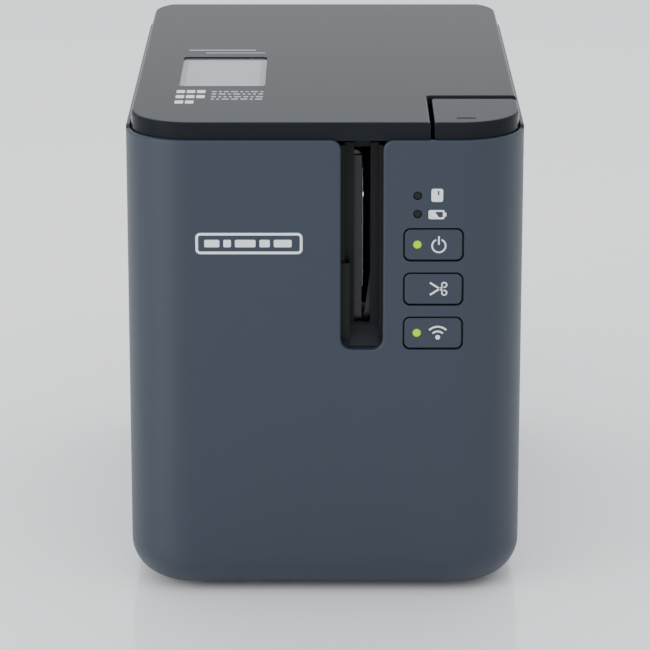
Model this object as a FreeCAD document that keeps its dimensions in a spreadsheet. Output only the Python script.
import FreeCAD, Part
import math
import os
import Sketcher

# Desktop label maker, in millimetres.
#
# X points right, Y to the back and Z up; the origin is under the middle of the feet.
# Every length that drives the model is a cell of the sheet "Sizes", and each feature is bound to
# those cells by an expression.

doc = FreeCAD.newDocument("LabelMaker")

SIZES = {
    # outer case
    "case_width": 118,
    "case_length": 192,
    "case_height": 146,
    "shell_floor": 1.5,
    "rim_height": 141,
    "side_rim_height": 142,
    "back_rim_height": 125.4,
    "front_corner": 20,
    "back_corner": 17.5,
    "belly_radius": 11.5,
    "wall": 2.4,
    "lip": 1.15,
    "lip_height": 4,
    "split_y": -78,
    "seam_gap": 0.2,
    # lid and its hinge
    "lid_inset": 1.5,
    "lid_bottom": 140.6,
    "lid_tail": 126.6,
    "lid_skin": 2.2,
    "lid_top_skin": 2.4,
    "barrel_radius": 9.9,
    "lid_back_round": 5,
    "hinge_y": 84.6,
    "hinge_z": 136.1,
    "pin_radius": 2,
    "running_gap": 0.05,
    "ear_x": 32,
    "ear_width": 6,
    "hub_x": 38.2,
    "hub_width": 3,
    # window in the lid
    "window_left": -44.6,
    "window_right": -18.3,
    "window_front": -43.4,
    "window_back": 0.3,
    "window_recess": 0.5,
    "window_frame": 1.8,
    # open button
    "button_left": 31.9,
    "button_back": -61.2,
    "notch_left": 30.8,
    "notch_back": -57.6,
    "button_bottom": 139.4,
    # tape exit slot
    "slot_middle": 10.85,
    "slot_width": 12.3,
    "slot_floor": 77.6,
    "slot_corner": 3.3,
    "slot_flare": 3,
    "rim_round": 0.8,
    # keys and indicators
    "key_x": 31.85,
    "key_width": 16.9,
    "key_height": 9.2,
    "key_corner": 1.7,
    "key_pitch": 13.47,
    "key_low_z": 82.75,
    "key_gap": 0.5,
    "lens_x": 27.1,
    "lens_radius": 1.3,
    "status_low_z": 119,
    "status_pitch": 5.5,
    # base, board and rear panel
    "plate_thick": 1.2,
    "foot_radius": 6.5,
    "screw_radius": 1.5,
    "board_z": 16,
    "board_thick": 1.6,
    "panel_z": 16.2,
    "panel_height": 20.8,
    # printing mechanism
    "chassis_z": 84,
    "chassis_thick": 1.5,
    "tape_x": 11.2,
    "tape_height": 36,
    "tape_low_z": 93,
    "platen_radius": 5,
    "platen_x": 16.65,
    "platen_y": -58,
    "holder_x": 27,
    "holder_y": -22,
    "gear_module": 0.8,
    "gear_slack": 0.14,
    "gear_gap": 0.12,
    "gear_low_z": 70.5,
    "gear_thick": 4.5,
    "feed_motor_radius": 17.5,
    # cutter
    "cutter_y": -84.5,
    "blade_thick": 1.5,
    "blade_x": 14.5,
    "blade_z": 76,
    "blade_open": 8,
    # cassette
    "cassette_left": -50,
    "cassette_right": 5,
    "cassette_front": -44,
    "cassette_back": 40,
    "cassette_low_z": 88,
    "cassette_height": 46,
}


class Dim:
    """A length that knows both its value and the sheet expression it comes from."""

    def __init__(self, value, text=None):
        self.value = float(value)
        self.text = text if text is not None else repr(round(float(value), 6))

    def joined(self, other, sign, value, swap=False):
        first, second = (other, self) if swap else (self, other)
        return Dim(value, f"({first.text} {sign} {second.text})")

    def __add__(self, other):
        other = dim(other)
        return self.joined(other, "+", self.value + other.value)

    def __sub__(self, other):
        other = dim(other)
        return self.joined(other, "-", self.value - other.value)

    def __rsub__(self, other):
        other = dim(other)
        return self.joined(other, "-", other.value - self.value, swap=True)

    def __mul__(self, factor):
        return Dim(self.value * factor, f"({self.text} * {factor})")

    def __truediv__(self, factor):
        return Dim(self.value / factor, f"({self.text} / {factor})")

    def __neg__(self):
        return Dim(-self.value, f"(-1 * {self.text})")

    __radd__ = __add__
    __rmul__ = __mul__


def dim(value):
    return value if isinstance(value, Dim) else Dim(value)


def make_sheet():
    sheet = doc.addObject("Spreadsheet::Sheet", "Sizes")
    for row, (alias, value) in enumerate(SIZES.items(), start=1):
        sheet.set(f"A{row}", alias)
        sheet.set(f"B{row}", str(value))
        sheet.setAlias(f"B{row}", alias)
    doc.recompute()
    return {alias: Dim(value, f"Sizes.{alias}") for alias, value in SIZES.items()}


S = make_sheet()
PIECES = []

UP = FreeCAD.Vector(0, 0, 1)
PLANES = {"XY": "XY_Plane", "XZ": "XZ_Plane", "YZ": "YZ_Plane"}
# A sketch on XZ looks along +Y and its normal is -Y, so depths along Y change sign there.
NORMAL_SIGN = {"XY": 1, "XZ": -1, "YZ": 1}
TURN_FROM_Z = {
    "X": FreeCAD.Rotation(FreeCAD.Vector(0, 1, 0), 90),
    "Y": FreeCAD.Rotation(FreeCAD.Vector(1, 0, 0), -90),
    "Z": FreeCAD.Rotation(),
}


def corner_arc(corner, before, after, radius):
    """The two tangent points and the middle of an arc that rounds a corner."""
    toward_a = (before - corner).normalize()
    toward_b = (after - corner).normalize()
    half = toward_a.getAngle(toward_b) / 2
    reach = radius / math.tan(half)
    bisector = (toward_a + toward_b).normalize()
    middle = corner + bisector * (radius / math.sin(half) - radius)
    return corner + toward_a * reach, middle, corner + toward_b * reach


class Piece:
    """One physical piece: a PartDesign body with its own label, node and file."""

    def __init__(self, name):
        self.name = name
        self.body = doc.addObject("PartDesign::Body", name)
        self.body.Label = name
        self.count = 0
        PIECES.append(self.body)

    def new(self, kind, note):
        self.count += 1
        return self.body.newObject(kind, f"{self.name}_{note}_{self.count}")

    def bind(self, feature, prop, value):
        feature.setExpression(prop, dim(value).text)

    def check_cut(self, feature, before, cut):
        doc.recompute()
        after = self.body.Shape.Volume
        if cut and not after < before - 1e-6:
            raise ValueError(f"{feature.Name} cuts nothing")
        return feature

    def volume(self):
        return self.body.Shape.Volume if self.body.Tip else 0

    def box(self, x, y, z, cut=False, note="block"):
        """A block between the given (low, high) pairs along X, Y and Z."""
        before = self.volume()
        feature = self.new("PartDesign::SubtractiveBox" if cut else "PartDesign::AdditiveBox", note)
        for prop, axis, (low, high) in (("Length", "x", x), ("Width", "y", y), ("Height", "z", z)):
            self.bind(feature, prop, dim(high) - low)
            self.bind(feature, f"Placement.Base.{axis}", low)
        return self.check_cut(feature, before, cut)

    def drum(self, axis, centre, span, radius, cut=False, note="drum"):
        """A cylinder along X, Y or Z; centre is the other two coordinates, in X, Y, Z order."""
        before = self.volume()
        kind = "PartDesign::SubtractiveCylinder" if cut else "PartDesign::AdditiveCylinder"
        feature = self.new(kind, note)
        self.bind(feature, "Radius", radius)
        self.bind(feature, "Height", dim(span[1]) - span[0])
        feature.Placement = FreeCAD.Placement(FreeCAD.Vector(), TURN_FROM_Z[axis])
        others = [name for name in "XYZ" if name != axis]
        places = dict(zip(others, centre))
        places[axis] = span[0]
        for name, value in places.items():
            self.bind(feature, f"Placement.Base.{name.lower()}", value)
        return self.check_cut(feature, before, cut)

    def sketch(self, plane, points, radii=None, start=0, note="outline"):
        """A sketch on one of the body's own planes, holding one closed outline."""
        feature = self.new("Sketcher::SketchObject", note)
        origin = [o for o in self.body.Origin.OriginFeatures if o.Role == PLANES[plane]][0]
        feature.AttachmentSupport = (origin, [""])
        feature.MapMode = "FlatFace"
        self.bind(feature, "AttachmentOffset.Base.z", dim(start) * NORMAL_SIGN[plane])
        self.add_loop(feature, points, radii or [0] * len(points))
        return feature

    def add_loop(self, feature, points, radii):
        """A closed outline through the points, each corner rounded by its own radius."""
        first_line = feature.GeometryCount
        places = [FreeCAD.Vector(dim(a).value, dim(b).value, 0) for a, b in points]
        arcs = {}
        for i, radius in enumerate(radii):
            if dim(radius).value > 0:
                after = places[(i + 1) % len(places)]
                arcs[i] = corner_arc(places[i], places[i - 1], after, dim(radius).value)
        for i, place in enumerate(places):
            follow = (i + 1) % len(places)
            begin = arcs[i][2] if i in arcs else place
            end = arcs[follow][0] if follow in arcs else places[follow]
            feature.addGeometry(Part.LineSegment(begin, end), False)
        arc_index = {}
        for i, (first, middle, last) in arcs.items():
            arc_index[i] = feature.addGeometry(Part.Arc(first, middle, last), False)
        self.constrain(feature, first_line, points, radii, arc_index)

    def constrain(self, feature, first_line, points, radii, arc_index):
        """Ties each corner to the sheet, by a construction point where an arc rounds it."""
        count = len(points)
        for i, point in enumerate(points):
            before, here = first_line + (i - 1) % count, first_line + i
            if i in arc_index:
                arc = arc_index[i]
                place = FreeCAD.Vector(dim(point[0]).value, dim(point[1]).value, 0)
                corner = feature.addGeometry(Part.Point(place), True)
                feature.addConstraint(Sketcher.Constraint("PointOnObject", corner, 1, before))
                feature.addConstraint(Sketcher.Constraint("PointOnObject", corner, 1, here))
                first, last = (1, 2) if self.arc_starts_at(feature, arc, before) else (2, 1)
                feature.addConstraint(Sketcher.Constraint("Tangent", before, 2, arc, first))
                feature.addConstraint(Sketcher.Constraint("Tangent", arc, last, here, 1))
                radius = dim(radii[i])
                feature.addConstraint(Sketcher.Constraint("Radius", arc, radius.value))
                feature.setExpression(f"Constraints[{feature.ConstraintCount - 1}]", radius.text)
                target = (corner, 1)
            else:
                feature.addConstraint(Sketcher.Constraint("Coincident", before, 2, here, 1))
                target = (here, 1)
            for kind, value in zip(("DistanceX", "DistanceY"), point):
                value = dim(value)
                feature.addConstraint(Sketcher.Constraint(kind, -1, 1, *target, value.value))
                feature.setExpression(f"Constraints[{feature.ConstraintCount - 1}]", value.text)

    def arc_starts_at(self, feature, arc, line):
        end = feature.getPoint(line, 2)
        return (feature.getPoint(arc, 1) - end).Length < (feature.getPoint(arc, 2) - end).Length

    def pad(self, plane, points, span, radii=None, note="pad"):
        """The outline grown between the two depths along the plane's own axis."""
        outline = self.sketch(plane, points, radii, self.near_depth(plane, span), note)
        feature = self.new("PartDesign::Pad", note)
        feature.Profile = outline
        self.bind(feature, "Length", dim(span[1]) - span[0])
        return self.check_cut(feature, 0, False)

    def pocket(self, plane, points, span, radii=None, note="pocket"):
        before = self.volume()
        outline = self.sketch(plane, points, radii, self.near_depth(plane, span), note)
        feature = self.new("PartDesign::Pocket", note)
        feature.Profile = outline
        feature.Reversed = True
        self.bind(feature, "Length", dim(span[1]) - span[0])
        return self.check_cut(feature, before, True)

    def trim_outside(self, points, radii, span, note="outline_trim"):
        """Cuts away whatever stands outside a plan outline."""
        before = self.volume()
        outer = rectangle((-90, 90), (-130, 130))
        outline = self.sketch("XY", outer, None, span[0], note)
        self.add_loop(outline, points, radii)
        feature = self.new("PartDesign::Pocket", note)
        feature.Profile = outline
        feature.Reversed = True
        self.bind(feature, "Length", dim(span[1]) - span[0])
        return self.check_cut(feature, before, True)

    def near_depth(self, plane, span):
        """Sketches grow along their normal, so an XZ outline starts at its far side."""
        return span[0] if NORMAL_SIGN[plane] > 0 else span[1]

    def edges(self, test):
        return [f"Edge{i}" for i, edge in enumerate(self.body.Shape.Edges, start=1) if test(edge)]

    def soften(self, test, radius, kind="Fillet"):
        """Rounds, or with kind Chamfer bevels, the edges that pass the test."""
        names = self.edges(test)
        if not names:
            raise ValueError(f"{self.name} has no edge to soften")
        base = self.body.Tip
        feature = self.new(f"PartDesign::{kind}", kind.lower())
        feature.Base = (base, names)
        self.bind(feature, "Radius" if kind == "Fillet" else "Size", radius)
        return self.check_cut(feature, 0, False)

    def repeat(self, features, axis, pitch, times):
        """The same features again along an axis of the body."""
        pattern = self.new("PartDesign::LinearPattern", "row")
        pattern.Originals = features
        origin = [o for o in self.body.Origin.OriginFeatures if o.Role == f"{axis}_Axis"][0]
        pattern.Direction = (origin, [""])
        self.bind(pattern, "Length", dim(pitch) * (times - 1))
        pattern.Occurrences = times
        self.body.Tip = pattern
        return self.check_cut(pattern, 0, False)

    def turn_about_z(self, features, times):
        pattern = self.new("PartDesign::PolarPattern", "ring")
        pattern.Originals = features
        origin = [o for o in self.body.Origin.OriginFeatures if o.Role == "Z_Axis"][0]
        pattern.Axis = (origin, [""])
        pattern.Angle = 360
        pattern.Occurrences = times
        self.body.Tip = pattern
        return self.check_cut(pattern, 0, False)

    def place(self, x=0, y=0, z=0, rotation=None):
        """Moves the whole body, which was drawn about its own origin."""
        self.body.Placement = FreeCAD.Placement(
            FreeCAD.Vector(), rotation or FreeCAD.Rotation()
        )
        for axis, value in zip("xyz", (x, y, z)):
            self.bind(self.body, f"Placement.Base.{axis}", value)
        doc.recompute()


def along(edge, axis):
    """True for a straight edge that runs along X, Y or Z."""
    box = edge.BoundBox
    lengths = {"X": box.XLength, "Y": box.YLength, "Z": box.ZLength}
    run = lengths.pop(axis)
    return run > 1e-4 and all(length < 1e-5 for length in lengths.values())


def centre_of(edge):
    return edge.BoundBox.Center


def rectangle(x, y):
    return [(x[0], y[0]), (x[1], y[0]), (x[1], y[1]), (x[0], y[1])]


HALF_WIDTH = S["case_width"] / 2
HALF_LENGTH = S["case_length"] / 2
FRONT_FACE = -HALF_LENGTH
INNER_FRONT = FRONT_FACE + S["wall"]
INNER_BACK = HALF_LENGTH - S["wall"]
FLOOR_TOP = S["shell_floor"] + S["wall"]
PLATE_TOP = FLOOR_TOP + S["plate_thick"]
CHASSIS_TOP = S["chassis_z"] + S["chassis_thick"]
LID_HALF = HALF_WIDTH - S["lid_inset"]
LID_FRONT = FRONT_FACE + S["lid_inset"]
SLOT_LEFT = S["slot_middle"] - S["slot_width"] / 2
SLOT_RIGHT = S["slot_middle"] + S["slot_width"] / 2
KEY_LEVELS = {
    "power_key": S["key_low_z"] + S["key_pitch"] * 2,
    "cut_key": S["key_low_z"] + S["key_pitch"],
    "wireless_key": S["key_low_z"],
}
SCREW_PLACES = [(x, y) for y in (-81, 0, 80) for x in (-40, 40)]
FOOT_PLACES = [(x, y) for y in (-70, 68) for x in (-38, 38)]
PILLAR_PLACES = [(-48.5, -66), (30, -66), (-48.5, 42), (48.5, 42)]


def plan(inset):
    """The case's plan outline, drawn in by an inset, with its four corner radii."""
    half_x = HALF_WIDTH - inset
    half_y = HALF_LENGTH - inset
    points = rectangle((-half_x, half_x), (-half_y, half_y))
    front = S["front_corner"] - inset
    back = S["back_corner"] - inset
    return points, [front, front, back, back]


def tub(name, rim):
    """The hollow case up to its rim: belly rounded outside and inside, thin lip at the top."""
    piece = Piece(name)
    points, radii = plan(0)
    piece.pad("XY", points, (S["shell_floor"], rim), radii)
    points, radii = plan(S["wall"])
    piece.pocket("XY", points, (FLOOR_TOP, rim), radii)
    for level, radius in ((FLOOR_TOP, S["belly_radius"] - S["wall"]), (S["shell_floor"], S["belly_radius"])):
        height = level.value
        piece.soften(lambda e: abs(e.BoundBox.ZMax - height) < 1e-4, radius)
    points, radii = plan(S["lip"])
    piece.pocket("XY", points, (S["rim_height"] - S["lip_height"], rim), radii)
    return piece


def key_opening(grow):
    half_x = S["key_width"] / 2 + grow
    half_z = S["key_height"] / 2 + grow
    x = (S["key_x"] - half_x, S["key_x"] + half_x)
    z = (S["key_low_z"] - half_z, S["key_low_z"] + half_z)
    return rectangle(x, z), [S["key_corner"] + grow] * 4


def front_case():
    piece = tub("front_case", S["rim_height"])
    piece.box((-60, 60), (S["split_y"], 97), (0, 150), cut=True, note="split")
    top = S["rim_height"] + 1
    points = rectangle((SLOT_LEFT, SLOT_RIGHT), (S["slot_floor"], top))
    radii = [S["slot_corner"], S["slot_corner"], 0, 0]
    piece.pocket("XZ", points, (FRONT_FACE - 1, INNER_FRONT + 1), radii, "slot")
    points, radii = key_opening(S["key_gap"])
    keys = piece.pocket("XZ", points, (FRONT_FACE - 1, INNER_FRONT + 1), radii, "key_window")
    piece.repeat([keys], "Z", S["key_pitch"], 3)
    span = (FRONT_FACE - 1, INNER_FRONT + 1)
    spot = (S["lens_x"], S["status_low_z"])
    hole = piece.drum("Y", spot, span, S["lens_radius"], cut=True, note="status_hole")
    piece.repeat([hole], "Z", S["status_pitch"], 2)
    for x, y in SCREW_PLACES[:2]:
        screw_hole(piece, x, y)
    sides = (SLOT_LEFT.value, SLOT_RIGHT.value)
    rim = S["rim_height"].value
    piece.soften(
        lambda e: along(e, "Y")
        and abs(centre_of(e).z - rim) < 1e-3
        and min(abs(centre_of(e).x - side) for side in sides) < 1e-3,
        S["slot_flare"],
    )
    soften_rim(piece, S["rim_height"])


def soften_rim(piece, level):
    """Rounds the outer edge of the rim, and whatever runs on from it smoothly."""
    top = level.value - 1e-4
    side = HALF_WIDTH.value - 0.1
    front = FRONT_FACE.value + 0.1

    def outer(edge):
        box = edge.BoundBox
        return box.ZMin > top and (box.XMax > side or box.XMin < -side or box.YMin < front)

    piece.soften(outer, S["rim_round"])


def screw_hole(piece, x, y):
    """A counterbored hole in the floor for a screw that comes up from below."""
    piece.drum("Z", (x, y), (S["shell_floor"] - 1, FLOOR_TOP + 1), S["screw_radius"] + 0.2, cut=True)
    top = S["shell_floor"] + 1.5
    piece.drum("Z", (x, y), (S["shell_floor"] - 1, top), S["screw_radius"] + 1.6, cut=True)


def rear_housing():
    piece = tub("rear_housing", S["side_rim_height"])
    front = S["split_y"] + S["seam_gap"]
    piece.box((-60, 60), (-97, front), (0, 150), cut=True, note="split")
    step = S["hinge_y"] - 6.6
    piece.box((-60, 60), (step, 97), (S["back_rim_height"], 150), cut=True, note="back_step")
    inside = HALF_WIDTH - S["lip"]
    room_z = (S["back_rim_height"] - 1.4, S["rim_height"])
    piece.box((-inside, inside), (step - 5.5, step + 0.5), room_z, cut=True, note="tail_room")
    for x, y in SCREW_PLACES[2:]:
        screw_hole(piece, x, y)
    low = S["panel_z"]
    points = rectangle((-40, 32), (low, low + S["panel_height"]))
    piece.pocket("XZ", points, (INNER_BACK - 1, HALF_LENGTH + 1), [2] * 4, "panel_window")
    vent = piece.pocket(
        "XZ", rectangle((-30, 30), (52, 54)), (INNER_BACK - 1, HALF_LENGTH + 1), [0.99] * 4, "vent"
    )
    piece.repeat([vent], "Z", 5, 6)
    rail = HALF_WIDTH.value - 1.5
    piece.soften(
        lambda e: along(e, "X")
        and abs(centre_of(e).x) > rail
        and abs(centre_of(e).z - S["side_rim_height"].value) < 1e-3
        and abs(centre_of(e).y - step.value) < 1e-3,
        3,
    )
    soften_rim(piece, S["side_rim_height"])


def base_plate():
    piece = Piece("base_plate")
    points = rectangle((-47, 47), (-84.4, 84.4))
    piece.pad("XY", points, (FLOOR_TOP, PLATE_TOP), [10] * 4)
    for x, y in SCREW_PLACES:
        piece.drum("Z", (x, y), (FLOOR_TOP - 1, PLATE_TOP + 1), S["screw_radius"], cut=True)


def case_screws():
    """Pan-head screws that come up through the floor into the base plate."""
    solids = []
    for x, y in SCREW_PLACES:
        head_low = S["shell_floor"].value + 0.1
        head_top = S["shell_floor"].value + 1.5
        head = Part.makeCylinder(2.8, head_top - head_low, FreeCAD.Vector(x, y, head_low))
        head = head.makeFillet(0.5, [head.Edges[2]])
        slot = Part.makeBox(3.4, 0.7, 0.8, FreeCAD.Vector(x - 1.7, y - 0.35, head_low - 0.1))
        cross = Part.makeBox(0.7, 3.4, 0.8, FreeCAD.Vector(x - 0.35, y - 1.7, head_low - 0.1))
        radius = S["screw_radius"].value
        shank = Part.makeCylinder(radius, 6, FreeCAD.Vector(x, y, head_top))
        solids.append(head.fuse(shank).cut(slot).cut(cross).removeSplitter())
    group("case_screws", solids)


def group(name, solids):
    """Several like solids that share one node."""
    return single(name, Part.makeCompound(solids))


def column(x, y, low, top, radius, bore=0):
    solid = Part.makeCylinder(radius, top - low, FreeCAD.Vector(x, y, low))
    if bore:
        solid = solid.cut(Part.makeCylinder(bore, top - low, FreeCAD.Vector(x, y, low)))
    return solid


def block(x, y, z):
    size = [dim(high).value - dim(low).value for low, high in (x, y, z)]
    return Part.makeBox(*size, FreeCAD.Vector(*(dim(low).value for low, _ in (x, y, z))))


def rubber_feet():
    solids = []
    for x, y in FOOT_PLACES:
        foot = column(x, y, 0, S["shell_floor"].value, S["foot_radius"].value)
        rim = [e for e in foot.Edges if e.BoundBox.ZMax < 1e-6]
        solids.append(foot.makeFillet(0.8, rim))
    group("rubber_feet", solids)


def rating_plate():
    piece = Piece("rating_plate")
    low = S["shell_floor"] - 0.4
    piece.pad("XY", rectangle((-26, 26), (20, 58)), (low, S["shell_floor"]), [2] * 4)


LID_TOP = S["case_height"]
LID_INNER_TOP = LID_TOP - S["lid_top_skin"]
BARREL_BACK = S["hinge_y"] + S["barrel_radius"]
DECK_TOP = S["rim_height"] - 2
DECK_THICK = 2


def lid():
    """The top cover: a shallow pan whose back edge rolls over the hinge line."""
    piece = Piece("lid")
    heel = S["hinge_y"] - 6.2
    side_view = [
        (LID_FRONT, S["lid_bottom"]),
        (LID_FRONT, LID_TOP),
        (BARREL_BACK, LID_TOP),
        (BARREL_BACK, S["lid_tail"]),
        (heel, S["lid_tail"]),
        (heel, S["lid_bottom"]),
    ]
    radii = [0, 0, S["lid_back_round"], 0, 0, 0]
    piece.pad("YZ", side_view, (-HALF_WIDTH - 1, HALF_WIDTH + 1), radii)
    _, radii = plan(S["lid_inset"])
    behind = BARREL_BACK + 0.4
    points = rectangle((-LID_HALF, LID_HALF), (LID_FRONT, behind))
    piece.trim_outside(points, radii, (S["lid_tail"] - 1, LID_TOP + 2))
    inner = LID_HALF - S["lid_skin"]
    inner_front = LID_FRONT + S["lid_skin"]
    corner = S["front_corner"] - S["lid_inset"] - S["lid_skin"]
    points = rectangle((-inner, inner), (inner_front, heel - 5))
    piece.pocket("XY", points, (S["lid_bottom"] - 1, LID_INNER_TOP), [corner, corner, 2, 2], "pan")
    points = rectangle((S["notch_left"], 60), (-98, S["notch_back"]))
    piece.pocket("XY", points, (S["lid_bottom"] - 1, LID_TOP + 1), [0, 0, 0, 1], "button_notch")
    window = rectangle((S["window_left"], S["window_right"]), (S["window_front"], S["window_back"]))
    piece.pocket("XY", window, (LID_TOP - 1.6, LID_TOP + 1), [1.5] * 4, "window_seat")
    frame = S["window_frame"]
    hole = rectangle(
        (S["window_left"] + frame, S["window_right"] - frame),
        (S["window_front"] + frame, S["window_back"] - frame),
    )
    piece.pocket("XY", hole, (LID_INNER_TOP - 1, LID_TOP), [1] * 4, "window_hole")
    corner = S["back_corner"] - S["lid_inset"] - S["lid_skin"]
    back = BARREL_BACK - S["lid_skin"]
    points = rectangle((-inner, inner), (heel - 2, back))
    low = (S["lid_tail"] - 1, S["hinge_z"] + 2)
    piece.pocket("XY", points, low, [0, 0, corner, corner], "tail_hollow")
    points = rectangle((-inner, inner), (heel - 2, back - 3.7))
    piece.pocket("XY", points, (low[1] - 1, LID_INNER_TOP), [0, 0, corner - 2, corner - 2], "roll_hollow")
    for side in (-1, 1):
        hinge_hub(piece, side)
    top = LID_TOP.value
    bend = S["hinge_y"].value + 0.5
    window_low = S["window_left"].value - 1
    window_high = S["window_right"].value + 1

    def outer_rim(edge):
        spot = centre_of(edge)
        at_top = edge.BoundBox.ZMin > top - 1e-4
        in_window = window_low < spot.x < window_high and abs(spot.y) < 60
        return at_top and spot.y < bend and not in_window

    piece.soften(outer_rim, 0.9)


def hinge_hub(piece, side):
    """A cheek inside the lid's rolled back edge, bored for the hinge pin."""
    inner = S["hub_x"] * side
    span = sorted((inner, inner + S["hub_width"] * side), key=lambda d: d.value)
    spot = (S["hinge_y"], S["hinge_z"])
    piece.drum("X", spot, span, 4.6, note="hub")
    web_y = (S["hinge_y"] - 3, S["hinge_y"] + 3)
    piece.box(span, web_y, (S["hinge_z"] + 3, LID_INNER_TOP + 0.5), note="hub_web")
    reach = (span[0] - 1, span[1] + 1)
    piece.drum("X", spot, reach, S["pin_radius"] + S["running_gap"], cut=True, note="pin_bore")


def lid_window():
    piece = Piece("lid_window")
    window = rectangle((S["window_left"], S["window_right"]), (S["window_front"], S["window_back"]))
    low = LID_TOP - 1.6
    piece.pad("XY", window, (low, LID_TOP - S["window_recess"]), [1.5] * 4)


def lid_liner():
    """The stiffening frame under the lid, with ribs and an opening below the window."""
    piece = Piece("lid_liner")
    half = LID_HALF - S["lid_skin"] - 1
    span = (LID_INNER_TOP - 1.4, LID_INNER_TOP)
    piece.pad("XY", rectangle((-half, half), (-56, 70)), span, [2] * 4)
    piece.pad("XY", rectangle((-half + 8, 29), (-90, -55)), span, [8, 2, 0, 0])
    window = rectangle((-46, -17), (-45, 2))
    piece.pocket("XY", window, (span[0] - 1, span[1] + 1), [1.5] * 4, "window_room")
    for y in (12, 30, 48):
        rib = (LID_INNER_TOP - 3, LID_INNER_TOP - 1)
        piece.box((-half + 4, half - 4), (y, y + 1.4), rib, note="rib")


def lid_catch():
    """The hook that the latch holds when the lid is shut."""
    piece = Piece("lid_catch")
    root = LID_INNER_TOP - 1.4
    hook = [(-84, 123.6), (-79.3, 126), (-79.3, 127.4), (-81.6, 127.4)]
    side_view = [(-84, root), *hook, (-81.6, root)]
    piece.pad("YZ", side_view, (25.4, 28.6))


def hinge_pins():
    solids = []
    for side in (-1, 1):
        near = (S["ear_x"].value - S["ear_width"].value / 2) * side
        length = S["hub_x"].value + S["hub_width"].value + 0.5 - abs(near)
        spot = FreeCAD.Vector(near, S["hinge_y"].value, S["hinge_z"].value)
        pin = Part.makeCylinder(S["pin_radius"].value, length, spot, FreeCAD.Vector(side, 0, 0))
        far = near + side * length
        tip = [e for e in pin.Edges if abs(e.BoundBox.Center.x - far) < 1e-3]
        solids.append(pin.makeChamfer(0.4, tip))
    group("hinge_pins", solids)


def bay_frame():
    """The moulded deck under the lid, the cassette bay's walls and the hinge ears."""
    piece = Piece("bay_frame")
    half = HALF_WIDTH - S["wall"] - 0.3
    deck = (DECK_TOP - DECK_THICK, DECK_TOP)
    front = INNER_FRONT + 0.3
    radius = S["front_corner"] - S["wall"] - 0.3
    back = S["hinge_y"] - 14.2
    piece.pad("XY", rectangle((-half, half), (front, back)), deck, [radius, radius, 1, 1])
    bay_x = (S["cassette_left"] - 1.5, S["cassette_right"] + 1.5)
    bay_y = (S["cassette_front"] - 1.5, S["cassette_back"] + 1.5)
    outer_x = (bay_x[0] - 1.5, bay_x[1] + 1.5)
    outer_y = (bay_y[0] - 1.5, bay_y[1] + 1.5)
    walls = (CHASSIS_TOP + 20, DECK_TOP - 1)
    piece.pad("XY", rectangle(outer_x, outer_y), walls, [2] * 4, "bay_walls")
    hollow = (CHASSIS_TOP + 10, DECK_TOP + 1)
    piece.pocket("XY", rectangle(bay_x, bay_y), hollow, [1.5] * 4, "bay_hollow")
    piece.pocket("XY", rectangle((-2, 24), (-80, bay_y[0] + 6)), hollow, [2] * 4, "head_room")
    button = rectangle((S["notch_left"] - 0.8, 60), (-98, S["notch_back"] + 0.5))
    piece.pocket("XY", button, (deck[0] - 1, DECK_TOP + 1), None, "button_room")
    piece.pocket("XY", rectangle((23, 31), (-98, -76)), (deck[0] - 1, DECK_TOP + 1), None, "catch_room")
    piece.pocket("XY", rectangle((3, 19), (-98, -86)), (deck[0] - 1, DECK_TOP + 1), None, "slot_room")
    trough_low = S["hinge_z"] - 17
    trough_wall = (back - 2, back)
    piece.box((-half + 1, half - 1), trough_wall, (trough_low, DECK_TOP - 1), note="trough_wall")
    floor_back = INNER_BACK - 0.3
    floor = rectangle((-half + 1, half - 1), (back - 1, floor_back))
    piece.pad("XY", floor, (trough_low, trough_low + 2), [0, 0, 14, 14], "trough_floor")
    for side in (-1, 1):
        hinge_ear(piece, side)
    shelf = [(24, -92), (half - 4, -92), (half - 4, -55.4), (31, -55.4), (31, -69), (24, -69)]
    piece.pad("XY", shelf, (118, 120), [1, 14, 1, 1, 0, 1], "button_shelf")
    piece.box((31, half - 4), (-57, -55.4), (119, DECK_TOP - 1), note="shelf_wall")
    spot = (44, -77)
    piece.drum("Z", spot, (117, 121), 3.3, cut=True, note="stem_bore")
    for x in (-50, 48):
        piece.drum("Z", (x, 48), (CHASSIS_TOP, DECK_TOP - 1), 3.2, note="post")
    piece.box((-56, -53), (-80, -70), (CHASSIS_TOP, DECK_TOP - 1), note="post")


def hinge_ear(piece, side):
    middle = S["ear_x"] * side
    span = (middle - S["ear_width"] / 2, middle + S["ear_width"] / 2)
    spot = (S["hinge_y"], S["hinge_z"])
    piece.drum("X", spot, span, 3.7, note="ear")
    arm = (S["hinge_y"] - 15, S["hinge_y"] - 3.6)
    piece.box(span, arm, (S["hinge_z"] - 5, S["hinge_z"]), note="ear_arm")
    reach = (span[0] - 1, span[1] + 1)
    piece.drum("X", spot, reach, S["pin_radius"], cut=True, note="ear_bore")


def button_outline(grow=0):
    corner = S["front_corner"] - S["lid_inset"]
    span = (S["button_left"] - grow, LID_HALF + grow)
    points = rectangle(span, (LID_FRONT - grow, S["button_back"] + grow))
    return points, [0.6, corner, 2.2, 0.6]


def open_button():
    """The corner button that frees the lid, hollow below, on a round stem."""
    piece = Piece("open_button")
    points, radii = button_outline()
    piece.pad("XY", points, (S["button_bottom"], LID_TOP), radii)
    points, radii = button_outline(-1.8)
    radii = [0.6, S["front_corner"] - S["lid_inset"] - 1.8, 1, 0.6]
    piece.pocket("XY", points, (S["button_bottom"] - 1, LID_TOP - 2), radii, "underside")
    piece.drum("Z", (44, -77), (113, LID_TOP - 1), 3, note="stem")
    top = LID_TOP.value
    piece.soften(lambda e: e.BoundBox.ZMin > top - 1e-4, 0.8)
    tick = rectangle((38.5, 44.2), (-88.6, -87.7))
    piece.pocket("XY", tick, (LID_TOP - 0.4, LID_TOP + 1), [0.44] * 4, "tick_mark")


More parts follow.
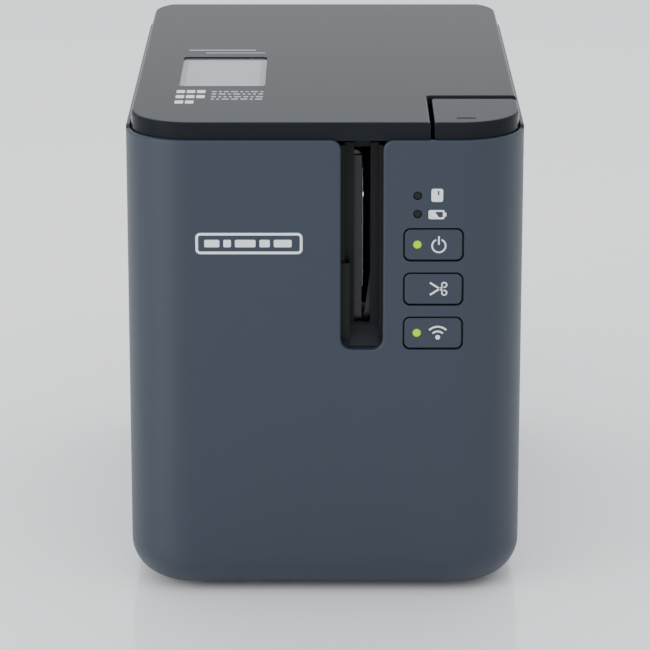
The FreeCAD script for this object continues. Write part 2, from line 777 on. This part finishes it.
def single(name, shape):
    """A piece made with the Part functions, which then gets its placement."""
    feature = doc.addObject("Part::Feature", name)
    feature.Label = name
    feature.Shape = shape
    feature.Placement = FreeCAD.Placement()
    PIECES.append(feature)
    return feature


def button_spring():
    """The coil that lifts the button, round its stem, between the shelf and the cap."""
    piece = Piece("button_spring")
    radius, wire, turns = 4.5, 0.4, 7
    low, top = 120.3, (LID_TOP - 2.4).value
    profile = piece.new("Sketcher::SketchObject", "wire")
    origin = [o for o in piece.body.Origin.OriginFeatures if o.Role == "XZ_Plane"][0]
    profile.AttachmentSupport = (origin, [""])
    profile.MapMode = "FlatFace"
    circle = Part.Circle(FreeCAD.Vector(radius, wire, 0), UP, wire)
    profile.addGeometry(circle, False)
    profile.addConstraint(Sketcher.Constraint("Radius", 0, wire))
    profile.addConstraint(Sketcher.Constraint("DistanceX", -1, 1, 0, 3, radius))
    profile.addConstraint(Sketcher.Constraint("DistanceY", -1, 1, 0, 3, wire))
    doc.recompute()
    helix = piece.new("PartDesign::AdditiveHelix", "coil")
    helix.Profile = profile
    axis = [o for o in piece.body.Origin.OriginFeatures if o.Role == "Z_Axis"][0]
    helix.ReferenceAxis = (axis, [""])
    helix.Mode = "height-turns-angle"
    helix.Height = top - low - 2 * wire
    helix.Turns = turns
    helix.Angle = 0
    piece.place(44, -77, low)


def latch_slider():
    piece = Piece("latch_slider")
    nose, heel = -79, -70
    points = [(25, nose), (30, nose), (30, -86), (52, -86), (52, -64), (32, -64), (32, heel), (25, heel)]
    piece.pad("XY", points, (120.1, 124), [0.8, 0, 2, 3, 3, 1, 0, 1])
    slot = rectangle((38.6, 49.4), (-84.6, -70))
    piece.pocket("XY", slot, (119, 125), [5.3] * 4, "stem_slot")


def slot_liner():
    """The dark guide behind the exit slot, with two inner lips beside the tape's way."""
    piece = Piece("slot_liner")
    back = S["cutter_y"] - 1.6
    y = (INNER_FRONT, back)
    z = (S["slot_floor"] - 2, DECK_TOP - 0.4)
    piece.box((SLOT_LEFT - 1.5, SLOT_RIGHT + 1.5), y, z)
    piece.box((SLOT_LEFT, SLOT_RIGHT), (INNER_FRONT - 1, back - 1.6), (S["slot_floor"], z[1] + 1), cut=True)
    way = (S["tape_x"] - 2.6, S["tape_x"] + 2.2)
    piece.box(way, (INNER_FRONT - 1, back + 1), (S["slot_floor"] + 3, z[1] + 1), cut=True, note="tape_way")
    low = S["slot_floor"] - 1
    piece.box((SLOT_LEFT - 0.5, SLOT_LEFT + 1.1), (INNER_FRONT + 2.5, back - 1), (low, z[1]), note="rib")
    piece.box((SLOT_RIGHT - 1.1, SLOT_RIGHT + 0.5), (INNER_FRONT + 2.5, back - 1), (low, z[1]), note="rib")
    step = (low, S["slot_floor"] + 25.5)
    piece.box((SLOT_LEFT - 0.5, SLOT_LEFT + 2.6), (INNER_FRONT + 1.2, back - 1), step, note="step")
    foot = [(INNER_FRONT, low), (back - 1, low)]
    ramp = [*foot, (back - 1, S["slot_floor"] + 6.2), (INNER_FRONT, S["slot_floor"] + 0.6)]
    piece.pad("YZ", ramp, (SLOT_LEFT - 0.5, SLOT_RIGHT + 0.5), None, "ramp")


def key(name, level, lit):
    """A key cap with a hidden flange, a stem that meets its switch and, if lit, a lens bore."""
    piece = Piece(name)
    half_x = S["key_width"] / 2
    half_z = S["key_height"] / 2
    x = (S["key_x"] - half_x, S["key_x"] + half_x)
    z = (level - half_z, level + half_z)
    face = FRONT_FACE + 0.1
    piece.pad("XZ", rectangle(x, z), (face, INNER_FRONT + 0.5), [S["key_corner"]] * 4)
    flange_x = (x[0] - 0.8, x[1] + 0.8)
    flange_z = (z[0] - 1.2, z[1] + 1.2)
    flange = (INNER_FRONT + 0.2, INNER_FRONT + 1.2)
    piece.pad("XZ", rectangle(flange_x, flange_z), flange, [2] * 4, "flange")
    piece.drum("Y", (S["key_x"], level), (INNER_FRONT + 1, INNER_FRONT + 2.6), 2, note="stem")
    if lit:
        span = (face - 1, INNER_FRONT + 3)
        spot = (S["lens_x"], level)
        piece.drum("Y", spot, span, S["lens_radius"], cut=True, note="lens_bore")
    front = face.value
    piece.soften(lambda e: e.BoundBox.YMax < front + 1e-4 and e.BoundBox.XLength > 3, 0.35)


def key_lens(name, level):
    piece = Piece(name)
    span = (FRONT_FACE + 0.15, INNER_FRONT + 1)
    piece.drum("Y", (S["lens_x"], level), span, S["lens_radius"])
    front = span[0].value
    piece.soften(lambda e: e.BoundBox.YMax < front + 1e-4, 0.4)


def indicator_lenses():
    solids = []
    front = FRONT_FACE.value + 0.35
    for step in (0, 1):
        level = S["status_low_z"].value + S["status_pitch"].value * step
        spot = FreeCAD.Vector(S["lens_x"].value, front, level)
        lens = Part.makeCylinder(S["lens_radius"].value, 3.2, spot, FreeCAD.Vector(0, 1, 0))
        rim = [e for e in lens.Edges if e.BoundBox.YMax < front + 1e-4]
        solids.append(lens.makeFillet(0.4, rim))
    group("indicator_lenses", solids)


def key_board():
    piece = Piece("key_board")
    points = rectangle((23.5, 50), (76, 117.4))
    piece.pad("XZ", points, (INNER_FRONT + 5.6, INNER_FRONT + 7.2), [1] * 4)
    for z in (79, 114.5):
        piece.drum("Y", (46.5, z), (INNER_FRONT + 5, INNER_FRONT + 8), 1.3, cut=True, note="fixing")


def key_switches():
    solids = []
    board = INNER_FRONT.value + 5.6
    for level in KEY_LEVELS.values():
        x = S["key_x"].value
        case = block((x - 3, x + 3), (board - 1.5, board), (level - 3, level + 3))
        knob = Part.makeCylinder(
            1.6, 0.6, FreeCAD.Vector(x, board - 2.1, level.value), FreeCAD.Vector(0, 1, 0)
        )
        solids.append(case.fuse(knob))
    group("key_switches", solids)


def flat_cable():
    """The ribbon cable from the key board down to the main board."""
    piece = Piece("flat_cable")
    y = INNER_FRONT.value + 7.4
    low, back, top = 12.6, -27, 92
    run = [(y, top), (y, low), (back, low), (back, 15.9), (back - 0.3, 15.9), (back - 0.3, low + 0.3)]
    run += [(y + 0.3, low + 0.3), (y + 0.3, top)]
    piece.pad("YZ", run, (36, 46))


def chassis_plate():
    piece = Piece("chassis_plate")
    span = (S["chassis_z"], CHASSIS_TOP)
    piece.pad("XY", rectangle((-54, 54), (-72, 52)), span, [4] * 4)
    cut = (span[0] - 1, span[1] + 1)
    piece.drum("Z", (S["platen_x"] + 1.5, S["platen_y"]), cut, 5, cut=True, note="platen_room")
    piece.drum("Z", RIBBON_SPOT, cut, 2.5 + S["running_gap"], cut=True, note="ribbon_bore")


def chassis_pillars():
    low, top = PLATE_TOP.value, S["chassis_z"].value
    group("chassis_pillars", [column(x, y, low, top, 2.5) for x, y in PILLAR_PLACES])


def polar(centre, reach, angle):
    turn = math.radians(angle)
    return (centre[0] + reach * math.cos(turn), centre[1] + reach * math.sin(turn))


DRIVE_TEETH, STEP_TEETH, MOTOR_TEETH, PLATEN_TEETH, RIBBON_TEETH = 42, 16, 14, 20, 28
SECTOR_TEETH, CUTTER_TEETH = 50, 14
MODULE = S["gear_module"].value
PLATEN_SPOT = (S["platen_x"].value, S["platen_y"].value)
PLATEN_TO_DRIVE, DRIVE_TO_MOTOR, DRIVE_TO_RIBBON = 150, 100, 150


def centre_distance(teeth_a, teeth_b):
    return MODULE * (teeth_a + teeth_b) / 2 + S["gear_gap"].value


DRIVE_SPOT = polar(PLATEN_SPOT, centre_distance(PLATEN_TEETH, STEP_TEETH), PLATEN_TO_DRIVE)
MOTOR_SPOT = polar(DRIVE_SPOT, centre_distance(DRIVE_TEETH, MOTOR_TEETH), DRIVE_TO_MOTOR)
RIBBON_SPOT = polar(DRIVE_SPOT, centre_distance(DRIVE_TEETH, RIBBON_TEETH), DRIVE_TO_RIBBON)


def mesh_phase(phase, teeth, direction, follower_teeth):
    """The turn that puts a follower's tooth gap opposite the driver's tooth."""
    offset = (phase - direction) / (360 / teeth)
    return direction + 180 + (0.5 - offset) * 360 / follower_teeth


def tooth(teeth):
    """One involute tooth about +X, as a closed outline from root to tip and back."""
    pitch = MODULE * teeth / 2
    root, tip = pitch - 1.2 * MODULE, pitch + 0.9 * MODULE
    base = pitch * math.cos(math.radians(20))
    spread = math.tan(math.radians(20)) - math.radians(20)
    half = math.pi / (2 * teeth) - S["gear_slack"].value / (2 * pitch)
    flank = []
    for step in range(5):
        radius = max(root, base) + (tip - max(root, base)) * step / 4
        roll = math.acos(base / radius)
        flank.append((radius, half + spread - (math.tan(roll) - roll)))
    foot = [(root - 0.3, flank[0][1] * 1.05)]
    side = [(r * math.cos(a), r * math.sin(a)) for r, a in foot + flank]
    return [(x, -y) for x, y in side] + side[::-1], root


def gear(piece, teeth, span):
    """Adds a spur gear about the piece's own Z axis."""
    points, root = tooth(teeth)
    piece.drum("Z", (0, 0), span, root, note="gear_root")
    one = piece.pad("XY", points, span, note="tooth")
    piece.turn_about_z([one], teeth)


def gear_levels():
    low = S["gear_low_z"]
    lower = (low, low + S["gear_thick"])
    upper = (low + S["gear_thick"] + 0.6, low + S["gear_thick"] * 2 + 0.6)
    return lower, upper


def spin(angle):
    return FreeCAD.Rotation(FreeCAD.Vector(0, 0, 1), angle)


STEP_PHASE = PLATEN_TO_DRIVE + 180


def drive_gear():
    """The compound gear: the motor turns its wide wheel and its narrow one turns the platen."""
    piece = Piece("drive_gear")
    lower, upper = gear_levels()
    gear(piece, DRIVE_TEETH, lower)
    piece.drum("Z", (0, 0), (lower[1] - 0.5, upper[0] + 0.5), 4.6, note="hub")
    gear(piece, STEP_TEETH, upper)
    bore = S["pin_radius"] + S["running_gap"]
    piece.drum("Z", (0, 0), (lower[0] - 1, upper[1] + 1), bore, cut=True, note="bore")
    piece.place(*DRIVE_SPOT, rotation=spin(STEP_PHASE))


def gear_axle():
    piece = Piece("gear_axle")
    piece.drum("Z", DRIVE_SPOT, (S["gear_low_z"] - 0.5, S["chassis_z"]), S["pin_radius"])


def ribbon_gear():
    """The gear below the chassis and the spindle above it that turns the cassette's spool."""
    piece = Piece("ribbon_gear")
    lower, _ = gear_levels()
    gear(piece, RIBBON_TEETH, lower)
    piece.drum("Z", (0, 0), (lower[1] - 0.5, S["chassis_z"] - 0.4), 4, note="collar")
    piece.drum("Z", (0, 0), (lower[1], S["cassette_low_z"] + 30), 2.5, note="spindle")
    phase = mesh_phase(STEP_PHASE, DRIVE_TEETH, DRIVE_TO_RIBBON, RIBBON_TEETH)
    piece.place(*RIBBON_SPOT, rotation=spin(phase))


def motor_pinion():
    piece = Piece("motor_pinion")
    lower, _ = gear_levels()
    gear(piece, MOTOR_TEETH, lower)
    piece.drum("Z", (0, 0), (lower[0] - 4, lower[0] + 0.5), 2, note="shaft")
    phase = mesh_phase(STEP_PHASE, DRIVE_TEETH, DRIVE_TO_MOTOR, MOTOR_TEETH)
    piece.place(*MOTOR_SPOT, rotation=spin(phase))


def platen_gear():
    """The platen's steel shaft with its gear below the chassis."""
    piece = Piece("platen_gear")
    _, upper = gear_levels()
    gear(piece, PLATEN_TEETH, upper)
    piece.drum("Z", (0, 0), (upper[1] - 1, 131), 2, note="shaft")
    phase = mesh_phase(STEP_PHASE, STEP_TEETH, PLATEN_TO_DRIVE + 180, PLATEN_TEETH)
    piece.place(*PLATEN_SPOT, rotation=spin(phase))


def platen_roller():
    piece = Piece("platen_roller")
    span = (S["tape_low_z"] - 1, S["tape_low_z"] + S["tape_height"] - 1)
    piece.drum("Z", PLATEN_SPOT, span, S["platen_radius"])
    piece.drum("Z", PLATEN_SPOT, (span[0] - 1, span[1] + 1), 2, cut=True, note="bore")


def roller_holder():
    """The swinging arm pair that presses the platen on the tape."""
    piece = Piece("roller_holder")
    low, top = CHASSIS_TOP + 0.5, S["tape_low_z"] + S["tape_height"] + 2
    x, y = S["platen_x"], S["platen_y"]
    pin_x, pin_y = S["holder_x"], S["holder_y"]
    tip = [(x - 2.6, y - 4.4), (x + 5.6, y - 4.4)]
    arm = tip + [(pin_x + 4.5, pin_y), (pin_x, pin_y + 4.5), (pin_x - 4.5, pin_y)]
    piece.pad("XY", arm, (low, low + 3), [3, 3, 1.5, 3, 1], "lower_arm")
    piece.pad("XY", arm, (top - 3, top), [3, 3, 1.5, 3, 1], "upper_arm")
    web = [(x + 5.4, y + 4), (pin_x + 3, pin_y - 3), (pin_x + 0.6, pin_y - 3), (x + 3.6 + 3, y + 12)]
    piece.pad("XY", web, (low + 1, top - 1), None, "web")
    piece.drum("Z", (pin_x, pin_y), (low, top), 4, note="barrel")
    bore = S["pin_radius"] + S["running_gap"]
    piece.drum("Z", (pin_x, pin_y), (low - 1, top + 1), bore, cut=True, note="pin_bore")
    piece.drum("Z", (x, y), (low - 1, top + 1), bore, cut=True, note="shaft_bore")


def holder_pin():
    piece = Piece("holder_pin")
    top = S["tape_low_z"] + S["tape_height"] + 4
    piece.drum("Z", (S["holder_x"], S["holder_y"]), (CHASSIS_TOP, top), S["pin_radius"])


def print_head():
    """The thermal head's ceramic plate, which faces the platen."""
    piece = Piece("print_head")
    face = S["tape_x"] - 0.25
    z = (S["tape_low_z"] - 2, S["tape_low_z"] + S["tape_height"] + 1)
    piece.box((face - 1, face), (-63, -53), z)
    piece.soften(lambda e: along(e, "Z") and abs(centre_of(e).x - face.value) < 1e-3, 0.4, "Chamfer")


def head_sink():
    piece = Piece("head_sink")
    right = S["tape_x"] - 1.25
    z = (CHASSIS_TOP, S["tape_low_z"] + S["tape_height"] + 2)
    piece.box((right - 8, right), (-65, -51), z)
    for step in range(4):
        y = -62.6 + step * 3
        piece.box((right - 9, right - 3), (y, y + 1.5), (z[0] + 3, z[1] + 1), cut=True, note="fin_gap")


def motor_can(x, y, low, top, radius, axis="Z"):
    """A round motor can with an edge radius and a raised front boss."""
    turn = {"Z": FreeCAD.Vector(0, 0, 1), "Y": FreeCAD.Vector(0, 1, 0)}[axis]
    start = FreeCAD.Vector(x, y, low) if axis == "Z" else FreeCAD.Vector(x, low, y)
    can = Part.makeCylinder(radius, top - low, start, turn)
    return can.makeFillet(1.2, [e for e in can.Edges if e.Length > 6 * radius - 1])


def feed_motor():
    """The stepper motor under the chassis, bored where its own shaft comes out."""
    x, y = MOTOR_SPOT
    top = S["gear_low_z"].value - 2
    can = motor_can(x, y, top - 24, top, S["feed_motor_radius"].value)
    bore = Part.makeCylinder(2.05, 3, FreeCAD.Vector(x, y, top - 2.5))
    single("feed_motor", can.cut(bore))


def motor_bracket():
    piece = Piece("motor_bracket")
    x, y = MOTOR_SPOT
    low = S["gear_low_z"] - 2
    piece.pad("XY", rectangle((x - 20, x + 24), (y - 18, y + 22)), (low, low + 1.5), [4] * 4)
    piece.drum("Z", MOTOR_SPOT, (low - 1, low + 3), 2.4, cut=True, note="shaft_room")
    for post in ((x - 15, y + 18), (x + 20, y + 18), (x + 21, y - 8)):
        piece.drum("Z", post, (low + 1, S["chassis_z"]), 2.5, note="post")


def cutter_frame():
    """The upright plate that carries both blades, with a shelf plate for the cutter motor."""
    piece = Piece("cutter_frame")
    back = S["cutter_y"]
    front = back - 1.5
    piece.pad("XZ", rectangle((-4, 22), (PLATE_TOP, 136)), (front, back), [0, 0, 3, 3])
    way = rectangle((S["tape_x"] - 2.6, S["tape_x"] + 2.2), (S["slot_floor"] + 3, 137))
    piece.pocket("XZ", way, (front - 1, back + 1), None, "tape_way")
    rear = (back + 4, back + 5.5)
    piece.box((-4, 26), rear, (38, 64), note="motor_plate")
    piece.box((-4, -2.5), (front, rear[1]), (38, 64), note="side_wall")
    spot = (S["blade_x"], S["blade_z"])
    piece.drum("Y", spot, (front - 1, back + 1), S["pin_radius"], cut=True, note="pin_bore")
    piece.drum("Y", CUTTER_SPOT, (rear[0] - 1, rear[1] + 1), 2.4, cut=True, note="shaft_room")


CUTTER_REACH = MODULE * (SECTOR_TEETH + CUTTER_TEETH) / 2 + S["gear_gap"].value
CUTTER_SPOT = (S["blade_x"], S["blade_z"] - CUTTER_REACH)
BLADE_BACK = S["cutter_y"] + 1.6


def fixed_blade():
    piece = Piece("fixed_blade")
    edge = S["tape_x"] - 0.35
    points = rectangle((edge - 7, edge), (S["blade_z"] + 8, 134))
    piece.pad("XZ", points, (S["cutter_y"], S["cutter_y"] + S["blade_thick"]), [1, 0, 0, 2])


def moving_blade():
    """The blade above its pivot and the toothed sector below it, drawn shut, then set open."""
    thick = S["blade_thick"].value
    opened = S["blade_open"].value
    edge = (S["tape_x"] - S["blade_x"]).value - 0.8
    tip = 132 - S["blade_z"].value
    arm = [(-5, 0), (5, 0), (3, 10), (0.9, tip), (edge, tip), (edge, 8)]
    rim = MODULE * SECTOR_TEETH / 2 - 1.2 * MODULE
    middle = opened / 2 - 90
    sector = Part.makeCylinder(rim, thick, FreeCAD.Vector(), UP, 34)
    sector.rotate(FreeCAD.Vector(), UP, middle - 17)
    solid = Part.makeCylinder(5.5, thick).fuse([sector, slab(arm, thick)])
    points, _ = tooth(SECTOR_TEETH)
    for step in range(-2, 2):
        one = slab(points, thick)
        one.rotate(FreeCAD.Vector(), UP, opened - 90 + step * 360 / SECTOR_TEETH)
        solid = solid.fuse(one)
    hole = Part.makeCylinder(S["pin_radius"].value + S["running_gap"].value, thick)
    feature = single("moving_blade", solid.cut(hole).removeSplitter())
    upright(feature, (S["blade_x"], BLADE_BACK + thick, S["blade_z"]), -opened)


def upright(feature, spot, turn=0):
    """Stands a piece drawn flat on X and Y up in X and Z, turned in that plane."""
    stand = FreeCAD.Rotation(FreeCAD.Vector(1, 0, 0), 90)
    base = FreeCAD.Vector(*(dim(value).value for value in spot))
    feature.Placement = FreeCAD.Placement(base, stand * FreeCAD.Rotation(UP, turn))


def slab(points, thick):
    corners = [FreeCAD.Vector(dim(a).value, dim(b).value, 0) for a, b in points]
    face = Part.Face(Part.makePolygon(corners + corners[:1]))
    return face.extrude(FreeCAD.Vector(0, 0, dim(thick).value))


def blade_pin():
    piece = Piece("blade_pin")
    spot = (S["blade_x"], S["blade_z"])
    start, end = S["cutter_y"] - 1.5, BLADE_BACK + S["blade_thick"]
    piece.drum("Y", spot, (start, end + 1.4), S["pin_radius"])
    piece.drum("Y", spot, (end + 0.3, end + 1.2), 3.4, note="washer")


def cutter_motor():
    x, z = CUTTER_SPOT
    start = (S["cutter_y"] + 5.5).value
    can = motor_can(dim(x).value, z.value, start, start + 24, 10, "Y")
    bore = Part.makeCylinder(2.05, 3, FreeCAD.Vector(dim(x).value, start, z.value), FreeCAD.Vector(0, 1, 0))
    single("cutter_motor", can.cut(bore))


def cutter_pinion():
    piece = Piece("cutter_pinion")
    gear(piece, CUTTER_TEETH, (0, S["blade_thick"]))
    piece.drum("Z", (0, 0), (-5, 0.5), 2, note="shaft")
    phase = mesh_phase(-90, SECTOR_TEETH, -90, CUTTER_TEETH)
    x, z = CUTTER_SPOT
    doc.recompute()
    upright(piece.body, (x, BLADE_BACK + S["blade_thick"], z), phase)


CASSETTE_X = (S["cassette_left"], S["cassette_right"])
CASSETTE_Y = (S["cassette_front"], S["cassette_back"])
CASSETTE_TOP = S["cassette_low_z"] + S["cassette_height"]
SPOOL_SPOT = (-23, 12)
SPOOL_BORE = 6


def shrunk(pair, amount):
    return (pair[0] + amount, pair[1] - amount)


def cassette_case():
    """The tape cassette's open box, with posts for the tape roll and a mouth for the tape."""
    piece = Piece("cassette_case")
    low, top = S["cassette_low_z"], CASSETTE_TOP - 2
    piece.pad("XY", rectangle(CASSETTE_X, CASSETTE_Y), (low, top), [4, 1, 6, 6])
    inner = rectangle(shrunk(CASSETTE_X, 1.5), shrunk(CASSETTE_Y, 1.5))
    piece.pocket("XY", inner, (low + 1.6, top + 1), [3, 1, 5, 5], "hollow")
    piece.drum("Z", RIBBON_SPOT, (low - 1, low + 3), 4.2, cut=True, note="spindle_room")
    piece.drum("Z", SPOOL_SPOT, (low + 1, top - 1), SPOOL_BORE - 0.35, note="roll_post")
    mouth = rectangle((1, 4), (CASSETTE_Y[0] - 1, CASSETTE_Y[0] + 3))
    z = (S["tape_low_z"] - 1, S["tape_low_z"] + S["tape_height"] + 1)
    piece.pocket("XY", mouth, z, None, "tape_mouth")


def cassette_cover():
    piece = Piece("cassette_cover")
    span = (CASSETTE_TOP - 2, CASSETTE_TOP)
    piece.pad("XY", rectangle(CASSETTE_X, CASSETTE_Y), span, [4, 1, 6, 6])
    label = rectangle((-46, -4), (-40, 8))
    piece.pocket("XY", label, (CASSETTE_TOP - 0.4, CASSETTE_TOP + 1), [2] * 4, "label_bed")
    window = rectangle((-40, -12), (17, 33))
    piece.pocket("XY", window, (span[0] - 1, span[1] + 1), [3] * 4, "roll_window")


def cassette_label():
    """The blank paper label in the cassette cover's bed."""
    piece = Piece("cassette_label")
    label = rectangle((-45.7, -4.3), (-39.7, 7.7))
    piece.pad("XY", label, (CASSETTE_TOP - 0.4, CASSETTE_TOP - 0.1), [1.8] * 4)


def tape_spool():
    """The full roll of label tape on its core."""
    piece = Piece("tape_spool")
    low = S["tape_low_z"]
    piece.drum("Z", SPOOL_SPOT, (low, low + S["tape_height"]), 22)
    piece.drum("Z", SPOOL_SPOT, (low - 1, low + S["tape_height"] + 1), SPOOL_BORE, cut=True, note="bore")


def ribbon_spool():
    """The take-up spool on the spindle; its ribbon is wound between two flanges."""
    piece = Piece("ribbon_spool")
    low = S["tape_low_z"] - 2
    top = low + S["tape_height"] + 3
    piece.drum("Z", RIBBON_SPOT, (low, low + 1.2), 5.4, note="flange")
    piece.drum("Z", RIBBON_SPOT, (low + 1, top - 1), 4.6, note="ribbon")
    piece.drum("Z", RIBBON_SPOT, (top - 1.2, top), 5.4, note="flange")
    bore = (low - 1, S["cassette_low_z"] + 30)
    piece.drum("Z", RIBBON_SPOT, bore, 2.5, cut=True, note="spindle_bore")


def label_tape():
    """The strip that runs from the cassette's mouth past the head to the cutter."""
    piece = Piece("label_tape")
    x = S["tape_x"].value
    back = CASSETTE_Y[0].value + 0.2
    path = [(x, -80.6), (x, -50.2), (3, back), (2.7, back), (x - 0.16, -50.3), (x - 0.16, -80.6)]
    low = S["tape_low_z"]
    piece.pad("XY", path, (low, low + S["tape_height"]))


BOARD_TOP = S["board_z"] + S["board_thick"]
REAR_EDGE = HALF_LENGTH - 0.4


def main_board():
    """The circuit board, on four short posts over the base plate."""
    piece = Piece("main_board")
    piece.pad("XY", rectangle((-44, 44), (-29, 88)), (S["board_z"], BOARD_TOP), [2] * 4)
    for x in (-38, 34):
        for y in (-20, 62):
            piece.drum("Z", (x, y), (PLATE_TOP, S["board_z"] + 0.1), 2.6, note="post")


def board_parts():
    """Chips, capacitors and coils that stand on the main board."""
    top = BOARD_TOP.value
    solids = [
        block((-10, 8), (-8, 10), (top, top + 1.6)),
        block((14, 26), (2, 12), (top, top + 1.4)),
        block((-30, -20), (18, 25), (top, top + 1.4)),
        block((2, 14), (24, 36), (top, top + 6)),
        block((-28, -12), (-24, -18), (top, top + 5)),
    ]
    for x, y, radius, tall in ((28, 30, 5, 14), (28, 44, 5, 14), (-34, 40, 4, 11), (-24, 40, 4, 11)):
        can = column(x, y, top, top + tall, radius)
        rim = [e for e in can.Edges if e.BoundBox.ZMin > top + tall - 1e-6]
        solids.append(can.makeFillet(0.6, rim))
    group("board_parts", solids)


def wireless_module():
    top = BOARD_TOP.value
    board = block((-42, -26), (50, 76), (top, top + 1))
    shield = block((-41, -27), (51, 67), (top + 1, top + 3.4))
    shield = shield.makeFillet(0.5, [e for e in shield.Edges if e.BoundBox.ZMin > top + 3.39])
    single("wireless_module", board.fuse(shield).removeSplitter())


def usb_port():
    """A square socket with its contact tongue, open to the back."""
    piece = Piece("usb_port")
    low = BOARD_TOP
    z = (low, low + 11)
    piece.box((-8, 4), (78, REAR_EDGE), z)
    piece.box(shrunk((-8, 4), 1.8), (80, 97), (low + 1.6, low + 9.4), cut=True, note="socket")
    piece.box((-4.8, 0.8), (79, REAR_EDGE - 1), (low + 4, low + 7), note="tongue")


def serial_port():
    """A modular jack with a latch notch, open to the back."""
    piece = Piece("serial_port")
    low = BOARD_TOP
    piece.box((-29, -15), (78, REAR_EDGE), (low, low + 12))
    piece.box((-27, -17), (80, 97), (low + 1.8, low + 8.8), cut=True, note="socket")
    piece.box((-24, -20), (84, 97), (low + 8, low + 10.6), cut=True, note="latch_notch")


INLET_X = 20
INLET_RADIUS = 3


def power_inlet():
    """A barrel jack with its centre pin, open to the back."""
    piece = Piece("power_inlet")
    low = BOARD_TOP
    z = low + 6
    piece.box((INLET_X - 5, INLET_X + 5), (78, REAR_EDGE - 2), (low, low + 11.5))
    piece.drum("Y", (INLET_X, z), (90, REAR_EDGE), 4.6, note="collar")
    piece.drum("Y", (INLET_X, z), (83, 97), INLET_RADIUS, cut=True, note="barrel")
    piece.drum("Y", (INLET_X, z), (82, REAR_EDGE - 1), 0.9, note="centre_pin")


def port_panel():
    """The plate that frames the three sockets in the back wall."""
    piece = Piece("port_panel")
    low = S["panel_z"]
    y = (INNER_BACK, HALF_LENGTH - 0.8)
    outline = rectangle((-39.8, 31.8), (low + 0.2, low + S["panel_height"] - 0.2))
    piece.pad("XZ", outline, y, [1.8] * 4)
    through = (y[0] - 1, y[1] + 1)
    for x in ((-8, 4), (-29, -15)):
        high = BOARD_TOP + (11 if x[0] == -8 else 12)
        piece.pocket("XZ", rectangle(shrunk(x, -0.3), (BOARD_TOP - 0.3, high + 0.3)), through)
    piece.drum("Y", (INLET_X, BOARD_TOP + 6), through, 4.9, cut=True, note="inlet_hole")


def cover_switch():
    """The sensor below the deck that tells whether the lid is shut."""
    piece = Piece("cover_switch")
    top = DECK_TOP - DECK_THICK
    piece.box((-56, -50), (-66, -60), (top - 7, top - 1))
    piece.box((-54, -52), (-64.5, -61.5), (top - 1.5, top), note="stem")


def build():
    front_case()
    rear_housing()
    base_plate()
    case_screws()
    rubber_feet()
    rating_plate()
    for make in (lid, lid_window, lid_liner, lid_catch, hinge_pins, bay_frame):
        make()
    for make in (open_button, button_spring, latch_slider, slot_liner):
        make()
    for name, level in KEY_LEVELS.items():
        lit = name != "cut_key"
        key(name, level, lit)
        if lit:
            key_lens(f"{name}_lens", level)
    for make in (indicator_lenses, key_board, key_switches, flat_cable):
        make()
    for make in (chassis_plate, chassis_pillars, print_head, head_sink):
        make()
    for make in (roller_holder, holder_pin, platen_roller, platen_gear):
        make()
    for make in (drive_gear, gear_axle, ribbon_gear, feed_motor, motor_pinion, motor_bracket):
        make()
    for make in (cutter_frame, fixed_blade, moving_blade, blade_pin, cutter_motor, cutter_pinion):
        make()
    for make in (cassette_case, cassette_cover, cassette_label, tape_spool, ribbon_spool, label_tape):
        make()
    for make in (main_board, board_parts, wireless_module, usb_port, serial_port, power_inlet):
        make()
    port_panel()
    cover_switch()


def check_and_write():
    doc.recompute()
    for item in doc.Objects:
        if "Invalid" in item.State or "Error" in item.State:
            raise ValueError(f"{item.Name} failed: {item.State}")
    os.makedirs("parts", exist_ok=True)
    for piece in PIECES:
        shape = piece.Shape
        if shape.isNull() or not shape.isValid() or not shape.Solids:
            raise ValueError(f"{piece.Label} has no valid solid")
        shape.exportStep(f"parts/{piece.Label}.step")


build()
check_and_write()
